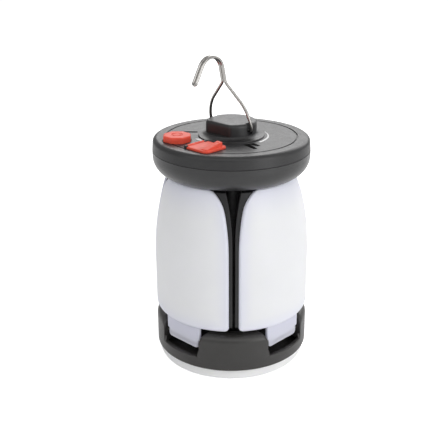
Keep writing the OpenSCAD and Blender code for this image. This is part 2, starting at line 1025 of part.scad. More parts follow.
base_lens();
base_led_board();
base_leds();
base_screws();
base_ring();
hinge_pins();
core_column();
column_screws();
battery_caps();
battery_cells();
battery_leads();
head_lower_shell();
keeper_magnets();
head_screws();
main_board();
board_parts();
board_screws();
tact_switch();
usb_a_socket();
usb_c_socket();
head_upper_shell();
cover_pin();
port_cover();
power_button();
hook_boss();
boss_screws();
hook_wire();
at_az(-45) panel_skin();  // skin_fl
at_az(-45) panel_tray();  // tray_fl
at_az(-45) panel_led_board();  // led_board_fl
at_az(-45) panel_leds();  // leds_fl
at_az(-45) panel_magnet();  // magnet_fl
at_az(45) panel_skin();  // skin_fr
at_az(45) panel_tray();  // tray_fr
at_az(45) panel_led_board();  // led_board_fr
at_az(45) panel_leds();  // leds_fr
at_az(45) panel_magnet();  // magnet_fr
at_az(135) panel_skin();  // skin_br
at_az(135) panel_tray();  // tray_br
at_az(135) panel_led_board();  // led_board_br
at_az(135) panel_leds();  // leds_br
at_az(135) panel_magnet();  // magnet_br
at_az(-135) panel_skin();  // skin_bl
at_az(-135) panel_tray();  // tray_bl
at_az(-135) panel_led_board();  // led_board_bl
at_az(-135) panel_leds();  // leds_bl
at_az(-135) panel_magnet();  // magnet_bl
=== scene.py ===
import bpy
import bmesh
import json
from math import acos, asin, atan2, cos, degrees, pi, radians, sin, sqrt, tan, tau
from mathutils import Matrix, Vector
from mathutils.geometry import tessellate_polygon

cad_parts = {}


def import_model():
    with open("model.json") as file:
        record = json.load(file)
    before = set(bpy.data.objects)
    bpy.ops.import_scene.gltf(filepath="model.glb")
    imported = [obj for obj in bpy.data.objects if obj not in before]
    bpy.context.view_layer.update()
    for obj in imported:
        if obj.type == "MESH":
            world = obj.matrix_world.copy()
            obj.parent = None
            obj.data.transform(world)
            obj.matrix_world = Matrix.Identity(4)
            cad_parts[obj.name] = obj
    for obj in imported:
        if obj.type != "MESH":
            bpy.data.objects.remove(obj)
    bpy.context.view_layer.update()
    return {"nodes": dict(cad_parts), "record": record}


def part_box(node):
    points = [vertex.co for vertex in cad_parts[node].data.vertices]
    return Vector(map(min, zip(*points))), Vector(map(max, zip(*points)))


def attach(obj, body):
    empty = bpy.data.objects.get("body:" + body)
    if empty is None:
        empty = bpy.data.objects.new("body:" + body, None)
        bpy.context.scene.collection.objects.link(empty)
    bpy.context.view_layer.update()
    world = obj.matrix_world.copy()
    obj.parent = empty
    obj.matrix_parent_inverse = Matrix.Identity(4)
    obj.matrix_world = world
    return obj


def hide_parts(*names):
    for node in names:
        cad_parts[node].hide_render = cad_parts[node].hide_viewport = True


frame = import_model()

MM = 0.001

# ---- places, in millimetres, taken from the frame ----


def node_box(node):
    low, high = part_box(node)
    return Vector(low) / MM, Vector(high) / MM


def joint_place(name):
    joint = next(j for j in frame["record"]["behaviour"]["joints"] if j["name"] == name)
    return Vector(joint["pos_m"]) / MM


def box_centre(node):
    low, high = node_box(node)
    return (low + high) / 2


RING_R = node_box("base_ring")[1].x
RING_Z0 = node_box("base_ring")[0].z
TAB_Z = node_box("base_ring")[1].z
LENS_R = node_box("base_lens")[1].x
HINGE = joint_place("panel_fr_hinge")
HINGE_D = HINGE.xy.length
HINGE_Z = HINGE.z
HEAD_R = node_box("head_lower_shell")[1].x
HEAD_BOT = node_box("head_lower_shell")[0].z
HEAD_TOP = node_box("hook_boss")[0].z
BOSS_TOP = node_box("hook_boss")[1].z
SKIRT_R = node_box("hook_boss")[1].x
HOOK_Z = joint_place("hook_swing").z
BUTTON = box_centre("power_button")
BUTTON_TOP = node_box("power_button")[1].z
COVER_PIVOT = joint_place("cover_flip")
COVER_TOP = node_box("port_cover")[1].z
PANEL_BOT = HINGE_Z + 11.4
PANEL_TOP = node_box("skin_fr")[1].z

# azimuths turn about +Z from -Y, so 90 degrees is +X
PANELS = {"fl": -45, "fr": 45, "br": 135, "bl": -135}
HALF_PANEL = radians(45)
GAPS = (0, 90, 180, 270)
FACE_AZ = -45
HOOK_AZ = 45

# ---- shape helpers: every one works in millimetres ----


def at_azimuth(azimuth, distance=0, z=0):
    """A move from the -Y side round the lantern's axis to an azimuth."""
    turn = Matrix.Rotation(radians(azimuth), 4, "Z")
    return turn @ Matrix.Translation((0, -distance, z))


def rounded(corners, steps=5):
    """A closed outline through corners (x, y, radius), each rounded to its radius."""
    out = []
    for i, (x, y, r) in enumerate(corners):
        p = Vector((x, y))
        if not r:
            out.append((x, y))
            continue
        a = (Vector(corners[i - 1][:2]) - p).normalized()
        b = (Vector(corners[(i + 1) % len(corners)][:2]) - p).normalized()
        half = acos(max(-1, min(1, a.dot(b)))) / 2
        centre = p + (a + b).normalized() * r / sin(half)
        first = p + a * r / tan(half) - centre
        last = p + b * r / tan(half) - centre
        start = atan2(first.y, first.x)
        sweep = (atan2(last.y, last.x) - start + pi) % tau - pi
        for k in range(steps + 1):
            angle = start + sweep * k / steps
            out.append((centre.x + r * cos(angle), centre.y + r * sin(angle)))
    return out


def circle(r, n=48, x=0, y=0):
    return [(x + r * cos(tau * i / n), y + r * sin(tau * i / n)) for i in range(n)]


def octagon(across, r, steps=4):
    """An octagon with rounded corners, flats square to the axes."""
    out = across / 2 / cos(pi / 8)
    corners = [(out * cos(a), out * sin(a), r) for a in (pi / 8 + pi / 4 * i for i in range(8))]
    return rounded(corners, steps)


def rectangle(w, h, r, steps=5, x=0, y=0):
    signs = ((1, -1), (1, 1), (-1, 1), (-1, -1))
    return rounded([(x + i * w / 2, y + j * h / 2, r) for i, j in signs], steps)


def inset(loop, d):
    """A counter-clockwise loop moved inwards by d."""
    out = []
    for i, p in enumerate(loop):
        before, here, after = Vector(loop[i - 1]), Vector(p), Vector(loop[(i + 1) % len(loop)])
        e0, e1 = (here - before).normalized(), (after - here).normalized()
        n0, n1 = Vector((-e0.y, e0.x)), Vector((-e1.y, e1.x))
        middle = (n0 + n1).normalized()
        out.append(tuple(here + middle * d / max(0.35, middle.dot(n0))))
    return out


class Solid:
    """Vertices and faces of closed shells, in millimetres."""

    def __init__(self):
        self.verts = []
        self.faces = []
        self.edge_shade = []

    def add(self, verts, faces, move=None, edge_shade=None):
        start = len(self.verts)
        self.verts += [move @ Vector(v) if move else Vector(v) for v in verts]
        self.faces += [tuple(start + i for i in f) for f in faces]
        self.edge_shade += edge_shade or [0.0] * len(verts)
        return self

    def lathe(self, path, turns=160, move=None):
        """A solid of revolution from a closed (r, z) outline."""
        verts, faces = [], []
        m = len(path)
        for i in range(turns):
            a = tau * i / turns
            verts += [(r * sin(a), -r * cos(a), z) for r, z in path]
            here, after = i * m, (i + 1) % turns * m
            for j in range(m):
                k = (j + 1) % m
                faces.append((here + j, after + j, after + k, here + k))
        return self.add(verts, faces, move)

    def slab(self, outline, z0, z1, holes=(), pockets=(), top=0.3, bottom=0.0, steps=1,
             shape=None, move=None):
        """A plate from a counter-clockwise outline, with rounded edges.

        holes go right through; a pocket is (loop, island or None, depth), cut in the top.
        shape turns (x, y, height) into a place, for plates that are bent."""
        verts, faces = [], []
        # each level is (how far the outline moves in, height)
        levels = [(0, z0)]
        if bottom:
            lower = [radians(90 * k / 4) for k in range(4, -1, -1)]
            levels = [(bottom * (1 - cos(a)), z0 + bottom * (1 - sin(a))) for a in lower]
        start, end = z0 + bottom, z1 - top
        levels += [(0, start + (end - start) * k / steps) for k in range(1, steps)]
        if top:
            upper = [radians(90 * k / 5) for k in range(6)]
            levels += [(top * (1 - cos(a)), z1 - top * (1 - sin(a))) for a in upper]
        else:
            levels.append((0, z1))

        def ring(loop, z):
            verts.extend((x, y, z) for x, y in loop)
            return list(range(len(verts) - len(loop), len(verts)))

        def wall(rings, flip=False):
            for low, high in zip(rings, rings[1:]):
                for i in range(len(low)):
                    k = (i + 1) % len(low)
                    quad = (low[i], low[k], high[k], high[i])
                    faces.append(quad[::-1] if flip else quad)

        def cap(rings, flip=False):
            flat = [i for r in rings for i in r]
            loops = [[Vector((verts[i][0], verts[i][1], 0)) for i in r] for r in rings]
            for tri in tessellate_polygon(loops):
                a, b, c = (flat[i] for i in tri)
                p, q, r = (Vector(verts[i][:2]) for i in (a, b, c))
                up = (q - p).cross(r - p) > 0
                faces.append((a, b, c) if up != flip else (a, c, b))

        outer = [ring(inset(outline, d), z) for d, z in levels]
        inner = [[ring(inset(hole, -d), z) for d, z in levels] for hole in holes]
        wall(outer)
        for rings in inner:
            wall(rings, flip=True)
        cap([outer[0]] + [rings[0] for rings in inner], flip=True)
        tops = [outer[-1]] + [rings[-1] for rings in inner]
        for loop, island, depth in pockets:
            edge = min(0.15, depth / 2)
            down = [ring(inset(loop, -edge), z1), ring(loop, z1 - edge), ring(loop, z1 - depth)]
            wall(down)
            tops.append(down[0])
            floor = [down[-1]]
            if island:
                up = [ring(island, z1 - depth), ring(island, z1 - edge),
                      ring(inset(island, edge), z1)]
                wall(up)
                cap([up[-1]])
                floor.append(up[0])
            cap(floor)
        cap(tops)
        if shape:
            verts = [shape(*v) for v in verts]
        return self.add(verts, faces, move)

    def sweep(self, rings, edge_shades=None, move=None):
        """A band through rings of equal length; each ring goes out and back in two halves."""
        verts = [p for ring in rings for p in ring]
        n = len(rings[0])
        faces = []
        for j in range(len(rings) - 1):
            for i in range(n):
                k = (i + 1) % n
                faces.append((j * n + i, j * n + k, (j + 1) * n + k, (j + 1) * n + i))
        last = (len(rings) - 1) * n
        for i in range(n // 2 - 1):
            faces.append((i, n - 1 - i, n - 2 - i, i + 1))
            faces.append((last + i, last + i + 1, last + n - 2 - i, last + n - 1 - i))
        return self.add(verts, faces, move, edge_shades)

    def piece(self, name, body, material, slot=None, sharp=38, weighted=True):
        """The finished object, riding on a body of the frame."""
        mesh = bpy.data.meshes.new(name)
        mesh.from_pydata([v * MM for v in self.verts], [], self.faces)
        # the 'edge' attribute carries how much painted shade the diffusers' edges get
        layer = mesh.attributes.new("edge", "FLOAT", "POINT")
        layer.data.foreach_set("value", self.edge_shade)
        bm = bmesh.new()
        bm.from_mesh(mesh)
        bmesh.ops.remove_doubles(bm, verts=bm.verts, dist=1e-7)
        bmesh.ops.dissolve_degenerate(bm, edges=bm.edges, dist=1e-8)
        bmesh.ops.recalc_face_normals(bm, faces=bm.faces)
        soften(bm, sharp)
        bm.to_mesh(mesh)
        bm.free()
        obj = bpy.data.objects.new(name, mesh)
        bpy.context.scene.collection.objects.link(obj)
        mesh.materials.append(material)
        if weighted:
            add_weighted_normals(obj)
        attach(obj, body)
        return obj


def soften(bm, sharp):
    """Smooth shading, with edges over the angle kept sharp."""
    for face in bm.faces:
        face.smooth = True
    for edge in bm.edges:
        angle = edge.calc_face_angle(0) if len(edge.link_faces) == 2 else 0
        edge.smooth = angle < radians(sharp)


def add_weighted_normals(obj):
    modifier = obj.modifiers.new("weighted_normals", "WEIGHTED_NORMAL")
    modifier.keep_sharp = True
    modifier.weight = 60


# ---- materials ----


class Surface:
    """A node material that starts from the Principled shader."""

    def __init__(self, name, **values):
        self.material = bpy.data.materials.new(name)
        self.material.use_nodes = True
        self.tree = self.material.node_tree
        self.shader = self.tree.nodes["Principled BSDF"]
        self.place = self.node("ShaderNodeTexCoord").outputs["Object"]
        for key, value in values.items():
            self.set(key.replace("_", " "), value)

    def node(self, kind, inputs=None, **settings):
        node = self.tree.nodes.new(kind)
        for key, value in settings.items():
            setattr(node, key, value)
        for key, value in (inputs or {}).items():
            self.link(node.inputs[key], value)
        return node

    def link(self, socket, value):
        if isinstance(value, bpy.types.NodeSocket):
            self.tree.links.new(value, socket)
        else:
            socket.default_value = value

    def set(self, key, value):
        if isinstance(value, tuple) and len(value) == 3 and "Radius" not in key:
            value = (*value, 1)
        self.link(self.shader.inputs[key], value)

    def noise(self, size_mm, detail=3.0, stretch=(1, 1, 1)):
        """Noise whose features are about size_mm across, stretched per axis."""
        mapping = self.node("ShaderNodeMapping", {"Vector": self.place, "Scale": stretch})
        return self.node("ShaderNodeTexNoise", {
            "Vector": mapping.outputs[0], "Scale": 1 / (size_mm * MM), "Detail": detail,
        }).outputs["Fac"]

    def ramp(self, value, low, high, to_low=0.0, to_high=1.0):
        return self.node("ShaderNodeMapRange", {
            "Value": value, "From Min": low, "From Max": high, "To Min": to_low, "To Max": to_high,
        }).outputs["Result"]

    def times(self, a, b, operation="MULTIPLY"):
        return self.node("ShaderNodeMath", {0: a, 1: b}, operation=operation).outputs[0]

    def mix(self, amount, a, b):
        node = self.node("ShaderNodeMix", data_type="RGBA")
        for index, value in ((0, amount), (6, a), (7, b)):
            if isinstance(value, tuple):
                value = (*value, 1)
            self.link(node.inputs[index], value)
        return node.outputs[2]

    def bump(self, height, depth_mm, strength=1.0, after=None):
        inputs = {"Height": height, "Distance": depth_mm * MM, "Strength": strength}
        if after:
            inputs["Normal"] = after
        return self.node("ShaderNodeBump", inputs).outputs["Normal"]

    def pointiness(self):
        return self.node("ShaderNodeNewGeometry").outputs["Pointiness"]

    def upward(self):
        normal = self.node("ShaderNodeNewGeometry").outputs["Normal"]
        return self.node("ShaderNodeSeparateXYZ", {0: normal}).outputs["Z"]

    def bevel(self, radius_mm):
        return self.node("ShaderNodeBevel", {"Radius": radius_mm * MM}, samples=4).outputs[0]


def moulded_plastic(name, colour, rough=0.45, grain=0.35, worn=0.5, round_mm=0.0, gloss=0.42,
                    coat=0.0):
    """Textured plastic: fine spark texture, mottling, worn edges and a little dust."""
    s = Surface(name, Coat_Weight=coat, Coat_Roughness=0.16)
    fine, mottle = s.noise(grain, 2), s.noise(9, 4)
    scuffs = s.noise(3.5, 5, (1, 1, 3))
    dark = tuple(c * 0.86 for c in colour)
    light = tuple(c * 1.22 + 0.002 for c in colour)
    body = s.mix(mottle, dark, light)
    body = s.mix(s.ramp(fine, 0.45, 0.7, 0, 0.25), body, tuple(c * 1.6 + 0.006 for c in colour))
    edge = s.times(s.ramp(s.pointiness(), 0.515, 0.6, 0, worn), s.ramp(scuffs, 0.35, 0.65))
    body = s.mix(edge, body, tuple(c * 2.2 + 0.03 for c in colour))
    dust = s.times(s.ramp(s.upward(), 0.6, 1.0, 0, 0.1), s.ramp(s.noise(1.4, 6), 0.42, 0.7))
    s.set("Base Color", s.mix(dust, body, (0.25, 0.24, 0.23)))
    s.set("Roughness", s.times(s.ramp(fine, 0.3, 0.7, rough - 0.05, rough + 0.06),
                               s.ramp(scuffs, 0.3, 0.7, 0.92, 1.1)))
    s.set("Specular IOR Level", gloss)
    grainy = s.bump(fine, grain * 0.16, 0.6, s.bevel(round_mm) if round_mm else None)
    s.set("Normal", s.bump(mottle, 0.05, 0.35, grainy))
    return s.material


def diffuser_plastic(name, edge_shade, middle, scatter=0.35):
    """Milky plastic: light scatters in it; it is clearer in the middle, and painted shade makes it
    darker and bluer at the edges.
    """
    s = Surface(name)
    edge = s.node("ShaderNodeAttribute", attribute_name="edge").outputs["Fac"]
    cloud = s.noise(16, 3)
    body = s.mix(s.ramp(cloud, 0.35, 0.65, 0, 0.35), middle, tuple(c * 0.965 for c in middle))
    # painted shade: the 'edge' attribute darkens the colour towards the diffuser's edges
    body = s.mix(edge, body, edge_shade)
    specks = s.times(s.ramp(s.noise(0.9, 6), 0.68, 0.76, 0, 0.25), s.ramp(s.noise(7, 2), 0.5, 0.7))
    s.set("Base Color", s.mix(specks, body, tuple(c * 0.8 for c in edge_shade)))
    s.set("Subsurface Weight", scatter)
    s.set("Subsurface Radius", (1.0, 0.95, 1.1))
    s.set("Subsurface Scale", 2.2 * MM)
    s.set("Roughness", s.ramp(s.noise(2.6, 5), 0.3, 0.7, 0.36, 0.47))
    s.set("Specular IOR Level", 0.45)
    s.set("Coat Weight", 0.08)
    s.set("Coat Roughness", 0.3)
    satin = s.bump(s.noise(0.3, 2), 0.03, 0.3)
    s.set("Normal", s.bump(s.noise(22, 2), 0.12, 0.25, satin))
    return s.material


def silicone(name, colour):
    """Soft satin rubber or wrap: patchy, with painted shade darker in its hollows and painted
    highlights paler along its rims.
    """
    s = Surface(name)
    fine, patch = s.noise(0.25, 3), s.noise(4, 4)
    body = s.mix(patch, tuple(c * 0.9 for c in colour), tuple(min(1, c * 1.08) for c in colour))
    # painted shade: darker where the surface is hollow
    hollow = s.ramp(s.pointiness(), 0.42, 0.5, 0.35, 0)
    body = s.mix(hollow, body, tuple(c * 0.6 for c in colour))
    # painted highlight: paler along convex rims, in patches
    rim = s.times(s.ramp(s.pointiness(), 0.52, 0.62, 0, 0.35), s.ramp(patch, 0.3, 0.6))
    s.set("Base Color", s.mix(rim, body, tuple(min(1, c * 1.1 + 0.05) for c in colour)))
    s.set("Subsurface Weight", 0.12)
    s.set("Subsurface Radius", (1.0, 0.25, 0.15))
    s.set("Subsurface Scale", 0.8 * MM)
    s.set("Roughness", s.ramp(fine, 0.3, 0.7, 0.42, 0.56))
    s.set("Specular IOR Level", 0.33)
    s.set("Sheen Weight", 0.04)
    s.set("Normal", s.bump(fine, 0.03, 0.5))
    return s.material


def metal(name, colour, rough=0.2, drawn=(1, 1, 8), dull=0.5):
    """Metal with drawing lines, handling marks and duller patches."""
    s = Surface(name, Metallic=1.0)
    lines, patch = s.noise(0.35, 3, drawn), s.noise(5, 5)
    stain = s.ramp(patch, 0.45, 0.75, 0, dull)
    s.set("Base Color", s.mix(stain, colour, tuple(c * 0.72 for c in colour)))
    s.set("Roughness", s.times(s.ramp(lines, 0.3, 0.7, rough * 0.75, rough * 1.4),
                               s.ramp(patch, 0.3, 0.7, 0.85, 1.3)))
    s.set("Normal", s.bump(lines, 0.02, 0.3))
    return s.material


def board(name, colour, rough=0.3):
    """Solder mask over copper tracks."""
    s = Surface(name)
    tracks = s.node("ShaderNodeTexBrick", {
        "Vector": s.place, "Scale": 1 / (9 * MM), "Mortar Size": 0.02, "Mortar Smooth": 0.3,
    }).outputs["Fac"]
    dark, light = tuple(c * 0.85 for c in colour), tuple(min(1, c * 1.1) for c in colour)
    track = tuple(min(1, c * 1.5 + 0.02) for c in colour)
    s.set("Base Color", s.mix(s.times(tracks, 0.35), s.mix(s.noise(6, 3), dark, light), track))
    s.set("Roughness", s.ramp(s.noise(1.5, 4), 0.3, 0.7, rough - 0.06, rough + 0.1))
    s.set("Normal", s.bump(tracks, 0.05, 0.5))
    return s.material


def flat_paint(name, colour, gloss=0.5, rough=0.3):
    """Thin flat paint, slightly uneven at its edges; it carries the painted highlights and the
    painted reflection on the head's top.
    """
    s = Surface(name)
    s.set("Specular IOR Level", gloss)
    s.set("Base Color", s.mix(s.noise(0.5, 4), colour, tuple(c * 0.8 for c in colour)))
    s.set("Roughness", s.ramp(s.noise(0.3, 3), 0.3, 0.7, rough, rough + 0.2))
    s.set("Normal", s.bump(s.noise(0.2, 2), 0.01, 0.4))
    return s.material


BLACK = moulded_plastic("charcoal_plastic", (0.03, 0.03, 0.031), 0.38, 0.35)
BLACK_LOWER = moulded_plastic("charcoal_underside", (0.024, 0.024, 0.025), 0.38, 0.35, 0, coat=0.4)
BLACK_RING = moulded_plastic("charcoal_ring", (0.032, 0.0305, 0.029), 0.36, 0.4, 0, gloss=0.6)
BLACK_BOSS = moulded_plastic("black_boss", (0.01, 0.01, 0.011), 0.42, 0.3, gloss=0.7)
BLACK_INNER = moulded_plastic("black_inner", (0.02, 0.02, 0.021), 0.5, 0.5, 0.3, round_mm=0.35)
BLACK_TRAY = moulded_plastic("black_tray", (0.018, 0.018, 0.019), 0.42, 0.35, 0.4, round_mm=0.5)
# its first colour is the painted shade at the diffuser's edges
DIFFUSER = diffuser_plastic("milky_diffuser", (0.77, 0.78, 0.9), (0.87, 0.877, 0.905))
# painted shade: a darker copy of the diffuser's colour for the tongue set back under the diffuser's
# foot
SHADED_TONGUE = diffuser_plastic("milky_tongue_painted_shade", (0.62, 0.625, 0.75), (0.68, 0.685, 0.79))
LENS = diffuser_plastic("milky_lens", (0.9, 0.9, 0.93), (0.92, 0.92, 0.935), 0.5)
RED = silicone("coral_silicone", (0.92, 0.105, 0.06))
WIRE = metal("polished_wire", (0.5, 0.485, 0.465), 0.14)
STEEL = metal("plated_steel", (0.62, 0.62, 0.6), 0.3)
BOARD_WHITE = board("white_board", (0.8, 0.8, 0.76))
BOARD_GREEN = board("green_board", (0.02, 0.16, 0.06))
CHIP = moulded_plastic("chip_plastic", (0.02, 0.02, 0.02), 0.4, 0.2)
PHOSPHOR = silicone("led_phosphor", (0.85, 0.62, 0.12))
CELL = silicone("cell_wrap", (0.05, 0.16, 0.5))
LEAD = silicone("lead_insulation", (0.5, 0.03, 0.02))
# painted highlight and painted reflection for the head's top
HIGHLIGHT_PAINT = flat_paint("painted_highlight", (0.8, 0.8, 0.8))
REFLECTION_PAINT = flat_paint("painted_reflection", (0.004, 0.004, 0.004), 0.02, 0.75)

SLOT_MATERIALS = {
    "diffuser_white": LENS, "black_plastic": BLACK_INNER, "red_rubber": RED,
    "polished_wire": WIRE, "steel": STEEL, "board_white": BOARD_WHITE,
    "board_green": BOARD_GREEN, "led_yellow": PHOSPHOR, "cell_wrap": CELL, "wire_red": LEAD,
}


def finish_cad_nodes():
    """A real finish on the CAD nodes."""
    special = {"head_lower_shell": BLACK_LOWER, "board_parts": CHIP, "tact_switch": CHIP}
    for part in frame["record"]["subparts"]:
        node, obj = part["node"], frame["nodes"][part["node"]]
        material = special.get(node, SLOT_MATERIALS[part["material_slot"]])
        if node.startswith("tray_"):
            material = BLACK_TRAY
        obj.data.materials.clear()
        obj.data.materials.append(material)


# ---- base ----


def base_lens():
    """The milky cup that the lantern stands on."""
    wall, foot, rim = 1.8, 2.6, RING_Z0 - 0.02
    inside = LENS_R - wall
    path = rounded([(0, 0, 0), (LENS_R, 0, foot), (LENS_R, rim, 0.3), (inside, rim, 0.3),
                    (inside, wall, 0.9), (0, wall, 0)], 8)
    obj = Solid().lathe(path).piece("lamp_lens", "lantern", LENS, "diffuser_white")
    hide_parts("base_lens")


def base_ring():
    """The charcoal ring with four raised tabs, open between them for the tongues."""
    wall_top, floor = RING_Z0 + 6.8, RING_Z0 + 2.4
    hole, wall_in, tab_in, notch = 4, 42.7, 36.2, 14.4
    edge = 0.6
    path = rounded([(hole, RING_Z0, 0), (RING_R, RING_Z0, 0.8), (RING_R, wall_top, edge),
                    (wall_in, wall_top, 0.5), (wall_in, floor, 0.5), (hole, floor, 0)])
    ring = Solid().lathe(path)
    # each tab is its radial section, swept between the two notches beside it
    low = wall_top - edge
    top_round, corner = 4.2, 3.6
    section = rounded([(tab_in, low, 0), (RING_R, low, 0), (RING_R, TAB_Z, top_round),
                       (tab_in, TAB_Z, 0.6)], 8)

    def half_angle(r):
        return HALF_PANEL - asin(notch / r)

    reach = RING_R * half_angle(RING_R)

    def bend(r, z, w):
        """Bends the section's sweep w round the axis and rounds the tab's top corners."""
        past = max(0, abs(w) - (reach - corner))
        drop = corner - sqrt(max(0, corner ** 2 - past ** 2))
        a = w / reach * half_angle(r)
        return (r * sin(a), -r * cos(a), z - drop * max(0, (z - low) / (TAB_Z - low)) ** 0.5)

    for gap in GAPS:
        ring.slab(section, -reach, reach, top=0.5, bottom=0.5, steps=40, shape=bend,
                  move=at_azimuth(gap))
    # stops for the opened panels, at both ends of each notch
    stop_in, stop_foot, stop_top, stop_z, stop_w = 41.6, 42.9, 42.2, 16.7, 1.5
    sunk = 0.2
    block = [(-stop_in, stop_z), (-stop_top, stop_z), (-stop_foot, wall_top),
             (-stop_foot, floor - sunk), (-stop_in, floor - sunk)]
    for azimuth in PANELS.values():
        for side in (-1, 1):
            middle = side * (notch - stop_w / 2 + sunk)
            ring.slab(block, middle - stop_w / 2, middle + stop_w / 2, top=0.3, bottom=0.3,
                      shape=lambda y, z, x: (x, y, z), move=at_azimuth(azimuth))
    obj = ring.piece("base_ring_shell", "lantern", BLACK_RING, "black_plastic")
    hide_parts("base_ring")


# ---- panels ----

SKIN_R = RING_R - 0.1
SKIN_GAP = 2.9
SKIN_T = 1.7
SKIN_ROLL = 1.65
CURVE_R, CURVE_Z = 163.6, 64
LIP_IN = 36.5


def gap_distance(z):
    """How far a diffuser's edge stands from the gap's middle plane at height z."""
    r1, z1, r2, z2 = 130, 78, 20, 101
    tilt = asin((z2 - z1) / r1)
    if z <= z1:
        d = SKIN_GAP
    elif z <= z2:
        d = SKIN_GAP + r1 - sqrt(r1 ** 2 - (z - z1) ** 2)
    else:
        lift = z - z2 + r2 * sin(tilt)
        d = SKIN_GAP + r1 * (1 - cos(tilt)) + r2 * cos(tilt) - sqrt(r2 ** 2 - lift ** 2)
    corner = 2.2
    below = PANEL_BOT + corner - z
    return d + (corner - sqrt(max(0, corner ** 2 - below ** 2)) if below > 0 else 0)


def skin_profile():
    """Stations (r, z, normal r, normal z) along a diffuser's outside, from foot to top."""
    foot, brow = 3.0, 1.1
    foot_steps, curve_steps, brow_steps = 8, 24, 5
    out = [(r, PANEL_BOT, 0, -1) for r in (LIP_IN, 38.5, 40.5)]
    for k in range(foot_steps + 1):
        a = radians(-90 + 90 * k / foot_steps)
        out.append((SKIN_R - foot + foot * cos(a), PANEL_BOT + foot + foot * sin(a), cos(a), sin(a)))
    out += [(SKIN_R, z, 1, 0) for z in (36.5, 40, 45, 50, 55, 60, CURVE_Z)]
    end = asin((PANEL_TOP - brow - CURVE_Z) / (CURVE_R - brow))
    for k in range(1, curve_steps + 1):
        a = end * k / curve_steps
        out.append((SKIN_R - CURVE_R * (1 - cos(a)), CURVE_Z + CURVE_R * sin(a), cos(a), sin(a)))
    centre_r, centre_z = out[-1][0] - brow * cos(end), out[-1][1] - brow * sin(end)
    for k in range(1, brow_steps + 1):
        a = end + (radians(90) - end) * k / brow_steps
        out.append((centre_r + brow * cos(a), centre_z + brow * sin(a), cos(a), sin(a)))
    return out


def around(angle, r, z):
    """A point at an angle from the -Y side, in radians."""
    return Vector((r * sin(angle), -r * cos(angle), z))


def rolled_edge(side, angle, r, z, nr, nz):
    """A diffuser's rolled edge at one station, from the field out to the side wall."""
    turns = 7
    here, normal = around(side * angle, r, z), around(side * angle, nr, nz)
    outwards = Vector((side * cos(HALF_PANEL), sin(HALF_PANEL), 0))
    outwards = (outwards - normal * outwards.dot(normal)).normalized()
    quarter = [radians(90) * k / turns for k in range(1, turns + 1)]
    return [here + outwards * SKIN_ROLL * sin(a) - normal * SKIN_ROLL * (1 - cos(a))
            for a in quarter]


def edge_shade_amount(point, z, gap):
    """How much painted shade a diffuser gets: 1 at its edges, falling to 0 well inside."""
    rim, softness = 9.0, 1.5
    to_side = abs(abs(point.x) + point.y) * cos(HALF_PANEL) - gap
    inside = min(to_side, (z - PANEL_BOT) * 0.8, (PANEL_TOP - z) * 0.5)
    return max(0.0, 1 - max(0, inside) / rim) ** softness


def panel_skin(azimuth):
    """A diffuser: its bent outside, rolled side edges and plain inside."""
    across = 28
    rings, edge_shades = [], []
    for r, z, nr, nz in skin_profile():
        gap = gap_distance(max(PANEL_BOT, min(PANEL_TOP, z)))
        angle = HALF_PANEL - asin((gap + SKIN_ROLL) / r)
        left, right = (rolled_edge(side, angle, r, z, nr, nz) for side in (-1, 1))
        field = [around(angle * (2 * k / across - 1), r, z) for k in range(across + 1)]
        outer = left[::-1] + field + right
        inner = [around(atan2(p.x, -p.y), r - nr * SKIN_T, z - nz * SKIN_T) for p in outer]
        rings.append(outer + inner[::-1])
        # painted shade, darker towards the diffuser's edges
        edge_shade = [edge_shade_amount(p, z, gap) for p in outer]
        edge_shades += edge_shade + edge_shade[::-1]
    return Solid().sweep(rings, edge_shades, at_azimuth(azimuth))


def panel_tongue(azimuth):
    """The plate under a diffuser and the barrel that turns on the hinge pin."""
    half, barrel, bore = 12.1, 2.4, 1.05
    wing_half, wing_z = 13.3, 22.5
    face = HINGE_D + barrel
    thick, tube_end = 1.8, half - 0.05
    move = at_azimuth(azimuth)
    # the plate is wider above the hinge pin, where the notch is open
    right = [(half, HINGE_Z - 2.3, 2.2), (half, wing_z, 0.4), (wing_half, wing_z, 0.9),
             (wing_half, PANEL_BOT + 1.2, 0)]
    plate = rounded(right + [(-x, z, r) for x, z, r in reversed(right)])
    solid = Solid().slab(plate, face - thick, face, top=0.5, bottom=0.3, move=move,
                         shape=lambda x, z, d: (x, -d, z))
    return solid.slab(circle(barrel - 0.02, 40), -tube_end, tube_end, holes=[circle(bore, 32)],
                      top=0.25, bottom=0.25, move=move,
                      shape=lambda d, z, x: (x, -HINGE_D + d, HINGE_Z + z))


def panels():
    for tag, azimuth in PANELS.items():
        body = "panel_" + tag
        skin = panel_skin(azimuth).piece("diffuser_" + tag, body, DIFFUSER, "diffuser_white", 60)
        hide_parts("skin_" + tag)
        panel_tongue(azimuth).piece("hinge_tongue_" + tag, body, SHADED_TONGUE, "diffuser_white")


# ---- head ----


def turned_about(point, azimuth):
    """The port's or the button's own frame, in plan."""
    return Matrix.Translation((point.x, point.y, 0)) @ Matrix.Rotation(radians(azimuth), 4, "Z")


PARTING = node_box("head_lower_shell")[1].z - 1.5
PLATE_T = 2.2
WELL_W = 14.4
BUTTON_AF = 15.2
PORT_TURN = -45
# the port's centre lies this far from its hinge line, along its own x axis
PORT_REACH = 8.2
PORT = COVER_PIVOT + Vector((cos(radians(PORT_TURN)), sin(radians(PORT_TURN)), 0)) * PORT_REACH


def in_plan(loop, centre, azimuth=0):
    """A loop turned and moved to a place on the head's top."""
    c, s = cos(radians(azimuth)), sin(radians(azimuth))
    return [(centre.x + x * c - y * s, centre.y + x * s + y * c) for x, y in loop]


